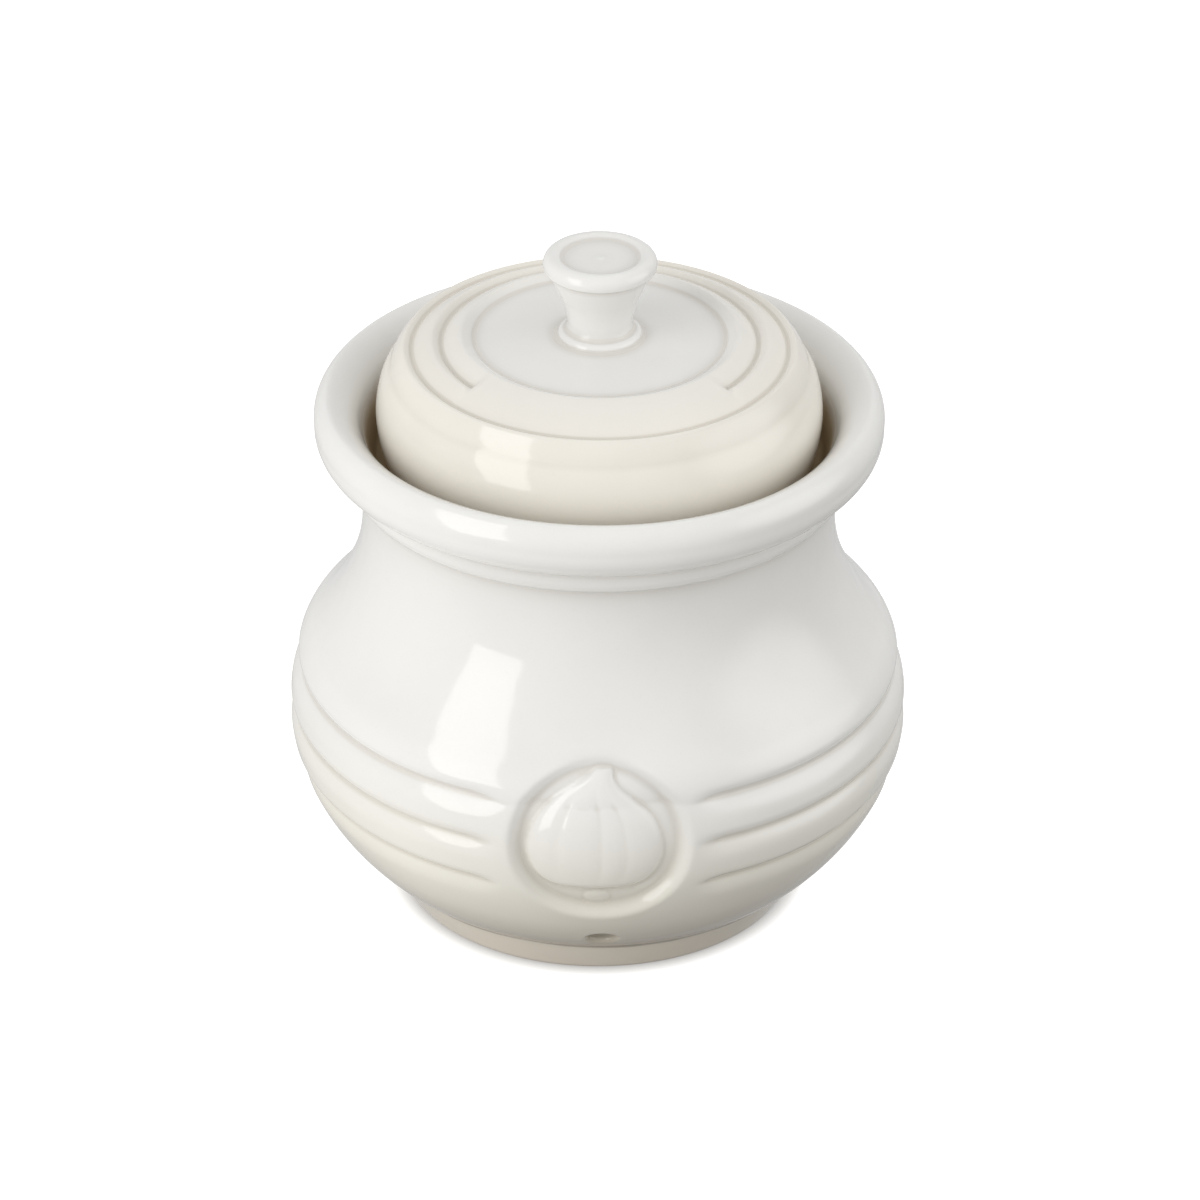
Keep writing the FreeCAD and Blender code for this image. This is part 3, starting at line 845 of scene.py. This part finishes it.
def drill(shape, side):
    """Drills one vent, in front where side is -1 and behind where it is 1."""
    radius = lower_body(vent_height)
    slope = math.atan2(vent_height - lower_centre[1], radius - lower_centre[0])
    outward = Vector((0, side * math.cos(slope), math.sin(slope)))
    across = Vector((1, 0, 0))
    upward = across.cross(outward)
    axis_point = Vector((vent_shift, side * radius, vent_height))
    openings = [open_rim(shape, axis_point, outward, outer_opening, outside_gap),
                open_rim(shape, axis_point, outward, inner_opening, inside_gap)]
    # Each ring: its radius, how far it is sunk under a wall, and that wall.
    sections = [(vent_radius + vent_lip + extra, 0, outside_gap) for extra in flat_rings]
    for turn in map(math.radians, lip_angles):
        sections.append((vent_radius + vent_lip * (1 - math.sin(turn)),
                         vent_lip * (1 - math.cos(turn)), outside_gap))
    sections += [(vent_radius, depth, outside_gap) for depth in bore_rings]
    sections += [(vent_radius, -inner_edge, inside_gap), (vent_radius + inner_edge, 0, inside_gap),
                 (vent_radius + inner_flat, 0, inside_gap)]
    rings = []
    for reach, sunk, gap in sections:
        ring = []
        for step in range(vent_sides):
            turn = math.tau * step / vent_sides
            arm = across * math.cos(turn) + upward * math.sin(turn)
            start = axis_point + arm * reach
            if gap is inside_gap:
                start = start - outward * wall
            ring.append(shape.verts.new(settled(start, outward, gap) - outward * sunk))
        rings.append(ring)
    for ring, following in zip(rings, rings[1:]):
        for step in range(vent_sides):
            after = (step + 1) % vent_sides
            shape.faces.new((ring[step], ring[after], following[after], following[step]))
    for ring, opening in zip((rings[0], rings[-1]), openings):
        own = [edge for edge in {edge for corner in ring for edge in corner.link_edges}
               if len(edge.link_faces) == 1]
        bmesh.ops.bridge_loops(shape, edges=opening + own)


shape = bmesh.new()
shape.from_mesh(jar.data)
for side in (-1, 1):
    drill(shape, side)
bmesh.ops.recalc_face_normals(shape, faces=shape.faces)
for face in shape.faces:
    face.smooth = True
print("open edges after drilling:", sum(len(edge.link_faces) != 2 for edge in shape.edges))
shape.to_mesh(jar.data)
shape.free()

# %% [markdown]
# ## Where the glaze gathers, where shade is painted and where the glaze is wiped off
#
# The bend of the surface is measured along every edge, and spread a little, to find the hollows, which
# are painted darker for the pooled glaze and as shade.  The foot ring, the jar's ledge, the lid's seat
# and the bottom of its flange are bare, or the pieces would fuse in the kiln.  The bare seats also
# reach up the walls of the gap between the lid and the rim, where their dark clay colour is painted
# shade.

# %% Measures of the hollows and the bare clay
hollow_bend = 260.0        # a bend this hollow, as 1 / radius in metres, is painted in full
sharpest_bend = 1500       # sharper bends count as this
jar_spread, lid_spread = 10, 6     # how often the bends are averaged with their neighbours
own_share = 0.4            # what a point keeps of its own bend each time

foot_face = (-0.001, 0.0004, 0.034, 0.0402)        # heights from and to, radii from and to
flange_face = (flange_low - 0.0004, flange_low + 0.0005, 0.0340, 0.0390)
# The seats reach up the wall of the gap between lid and rim, so their dark clay colour also paints shade
# into the gap.
jar_seat_and_gap_shade = (0.1022, 0.0048, 0.0395, 0.0466)        # height, blend below it, radii from and to
lid_seat_and_gap_shade = (0.0982, 0.0038, 0.0392, 0.0450)
seat_foot = 0.09           # nothing below this height is a seat
seat_edge_blend = 0.0004
print("a hollow is painted in full from a radius of", round(1000 / hollow_bend, 1), "mm")


# %% Paint the hollows and the bare clay
def paint(mesh, name, values):
    """Paints a number from 0 to 1 on every point of a mesh."""
    attribute = mesh.attributes.new(name, "FLOAT", "POINT")
    attribute.data.foreach_set("value", np.clip(values, 0, 1).astype(np.float32))


def hollowness(mesh, spread):
    """How far each point lies in a hollow, from 0 to 1."""
    mesh.update()
    points, normals = places(mesh), places(mesh, "normal")
    ends = np.zeros(2 * len(mesh.edges), int)
    mesh.edges.foreach_get("vertices", ends)
    first, second = ends.reshape(-1, 2).T
    way = points[second] - points[first]
    length = np.maximum(np.linalg.norm(way, axis=1), 1e-6)
    bend = np.einsum("ij,ij->i", normals[second] - normals[first], way) / length ** 2
    count = np.bincount(first, minlength=len(points)) + np.bincount(second, minlength=len(points))
    count = np.maximum(count, 1)

    def gathered(values):
        total = np.bincount(first, values, len(points)) + np.bincount(second, values, len(points))
        return total / count

    field = np.clip(gathered(bend), -sharpest_bend, sharpest_bend)
    for _ in range(spread):
        field = own_share * field + (1 - own_share) * gathered((field[first] + field[second]) / 2)
    return np.clip(-field / hollow_bend, 0, 1)


def bare_parts(mesh, low, high, inner, outer):
    """Marks the points between two heights and two distances from the axis."""
    points = places(mesh)
    reach = np.hypot(points[:, 0], points[:, 1])
    return ((points[:, 2] > low) & (points[:, 2] < high) & (reach > inner) & (reach < outer)) * 1.0


def below(mesh, height, blend, inner, outer):
    """Marks the points of a seat: all that lie low enough, between two distances from the axis."""
    points = places(mesh)
    reach = np.hypot(points[:, 0], points[:, 1])
    low = smoothstep(height, height - blend, points[:, 2])
    across = smoothstep(inner - seat_edge_blend, inner, reach) * (reach < outer)
    return low * (points[:, 2] > seat_foot) * across


# Each seat mask also spreads the bare clay colour over the gap's wall as painted shade.
for piece, spread, face, seat in ((jar, jar_spread, foot_face, jar_seat_and_gap_shade),
                                  (lid, lid_spread, flange_face, lid_seat_and_gap_shade)):
    mesh = piece.data
    paint(mesh, "hollow", hollowness(mesh, spread))
    paint(mesh, "bare", np.maximum(bare_parts(mesh, *face), below(mesh, *seat)))
    mesh.attributes.remove(mesh.attributes["row"])
    print(piece.name, "is bare on", int((numbers(mesh, "bare") > 0.5).sum()), "points")

# %% [markdown]
# ## Take the place of the CAD pieces
#
# Each finished mesh takes over from the CAD piece it was measured from.  It rides on that piece's body,
# so the lid still lifts.

# %% Ride and replace
for piece, node in ((jar, "jar"), (lid, "lid")):
    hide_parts(node)
    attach(piece, node)
    print(piece.name, "takes the place of", node)

# %% [markdown]
# ## Studio
#
# A glossy white pot shows its shape by what it mirrors.  A tall soft box stands to the left in front
# and draws a clear window on the belly.  The room is an even grey with four soft patches, of which the
# one on the right fills the other side.  The camera stands well back with a long lens, so that the pot
# keeps its own proportions.

# %% The soft box
pot_middle = (0, 0, 0.06)


def directed(azimuth, elevation, distance, target=pot_middle):
    """A place seen from the pot at an angle round from its front and an angle above level."""
    turn, rise = math.radians(azimuth), math.radians(elevation)
    return Vector(target) + distance * Vector((math.sin(turn) * math.cos(rise),
                                               -math.cos(turn) * math.cos(rise), math.sin(rise)))


def window(name, azimuth, elevation, distance, width, height, lean, radiance):
    """A flat lamp that faces the pot, leant over to its left as the pot sees it."""
    light = bpy.data.lights.new(name, "AREA")
    light.shape = "RECTANGLE"
    light.size, light.size_y = width, height
    light.energy = radiance * math.pi * width * height
    stand = bpy.data.objects.new(name, light)
    stand.location = directed(azimuth, elevation, distance)
    upright = (stand.location - Vector(pot_middle)).to_track_quat("Z", "Y")
    stand.rotation_euler = (upright @ Quaternion((0, 0, 1), math.radians(lean))).to_euler()
    bpy.context.collection.objects.link(stand)
    return stand


soft_box = window("soft_box", azimuth=-51, elevation=22, distance=1.2, width=0.55, height=1.36,
                  lean=14.5, radiance=2.68)
print("the soft box stands at", [round(part, 2) for part in soft_box.location])

# %% The room
# Soft patches of the room: azimuth and elevation of the middle, the angle inside which a patch is
# full, the angle where it has faded out, and its radiance.
room_patches = [
    (82, 13, 8, 36, 1.90),
    (0, 10, 20, 70, 0.37),
    (180, 20, 20, 80, 0.26),
    (0, 90, 15, 60, 0.23),
]
room_above = 0.475
room_below = 0.40
level_blend = 0.12         # how far above and below level one runs into the other
backdrop_glow = 1.05       # what the camera sees beyond the floor

world = bpy.data.worlds.new("studio")
world.use_nodes = True
bpy.context.scene.world = world
sky = world.node_tree
background = sky.nodes["Background"]
add = functools.partial(add_node, sky)
maths = functools.partial(add_maths, sky)

way = add("ShaderNodeTexCoord")["Generated"]
rise = add("ShaderNodeSeparateXYZ", {0: way})["Z"]
radiance = add_fade(sky, rise, -level_blend, level_blend, room_below, room_above)
for azimuth, elevation, full, gone, strength in room_patches:
    middle = directed(azimuth, elevation, 1.0, (0, 0, 0))
    aligned = add("ShaderNodeVectorMath", {0: way, 1: middle}, operation="DOT_PRODUCT")["Value"]
    edge, core = math.cos(math.radians(gone)), math.cos(math.radians(full))
    radiance = maths("ADD", radiance, add_fade(sky, aligned, edge, core, 0.0, strength))
backdrop = maths("MULTIPLY", add("ShaderNodeLightPath")["Is Camera Ray"], backdrop_glow)
sky.links.new(maths("MAXIMUM", radiance, backdrop), background.inputs["Strength"])
background.inputs["Color"].default_value = (1, 1, 1, 1)
print("the room has", len(room_patches), "soft patches")

# %% [markdown]
# ### The floor
#
# The sheet is a matt grey for the light that falls on it, so that the pot stands in its own shade.  To
# the camera it also glows, less so right under the foot, which leaves a thin painted contact shadow.
# For light that bounces up to the pot it glows on the left only, the lit side.  Glossy rays pass through
# it, as its even grey would lie on the glaze like a veil.

# %% The floor
floor_half = 3
sheet_colour = (0.30, 0.29, 0.27, 1)
lit_from, lit_to, lit_glow = 0.04, -0.08, 0.71     # places across, no glow at the first, all at the second
# Reach and least glow of the painted contact shadow under the foot.
contact_reach, contact_glow = 0.003, 0.22

corners = [(x * floor_half, y * floor_half, 0) for x, y in ((-1, -1), (1, -1), (1, 1), (-1, 1))]
floor_mesh = bpy.data.meshes.new("floor")
floor_mesh.from_pydata(corners, [], [(0, 1, 2, 3)])
floor = bpy.data.objects.new("floor", floor_mesh)
bpy.context.collection.objects.link(floor)
sheet = bpy.data.materials.new("floor_sheet")
sheet.use_nodes = True
paper = sheet.node_tree
paper.nodes.clear()
add = functools.partial(add_node, paper)

ray = add("ShaderNodeLightPath")
across = add("ShaderNodeSeparateXYZ", {0: add("ShaderNodeTexCoord")["Object"]})["X"]
lit_side = add_fade(paper, across, lit_from, lit_to, 0.0, lit_glow)
openness = add("ShaderNodeAmbientOcclusion", {"Distance": contact_reach})["AO"]
# The camera's glow dims where the foot is near: a painted contact shadow.
contact = add("ShaderNodeMapRange", {"Value": openness, "To Min": contact_glow})[0]
strength = add("ShaderNodeMix", {"Factor": ray["Is Camera Ray"], "A": lit_side, "B": contact})[0]
matt = add("ShaderNodeBsdfDiffuse", {"Color": sheet_colour})[0]
glow = add("ShaderNodeEmission", {"Strength": strength})[0]
both = add("ShaderNodeAddShader", {0: matt, 1: glow})[0]
clear = add("ShaderNodeBsdfTransparent")[0]
choice = add("ShaderNodeMixShader", {0: ray["Is Glossy Ray"], 1: both, 2: clear})[0]
add("ShaderNodeOutputMaterial", {"Surface": choice})
floor_mesh.materials.append(sheet)
print("the floor is", 2 * floor_half, "m wide")

# %% The camera
camera_elevation = 30.17
camera_distance = 1.4
camera_roll = 0.333
aim = Vector((0.00034, 0, 0.06052))
camera = bpy.data.objects.new("camera", bpy.data.cameras.new("camera"))
camera.data.lens = 214.08
camera.data.sensor_width = 36.0
camera.location = directed(0, camera_elevation, camera_distance, aim)
level = (aim - camera.location).to_track_quat("-Z", "Y")
camera.rotation_euler = (level @ Quaternion((0, 0, 1), math.radians(camera_roll))).to_euler()
bpy.context.collection.objects.link(camera)
bpy.context.scene.camera = camera
bpy.context.scene.view_settings.view_transform = "Standard"
print("the camera stands at", [round(part, 3) for part in camera.location])
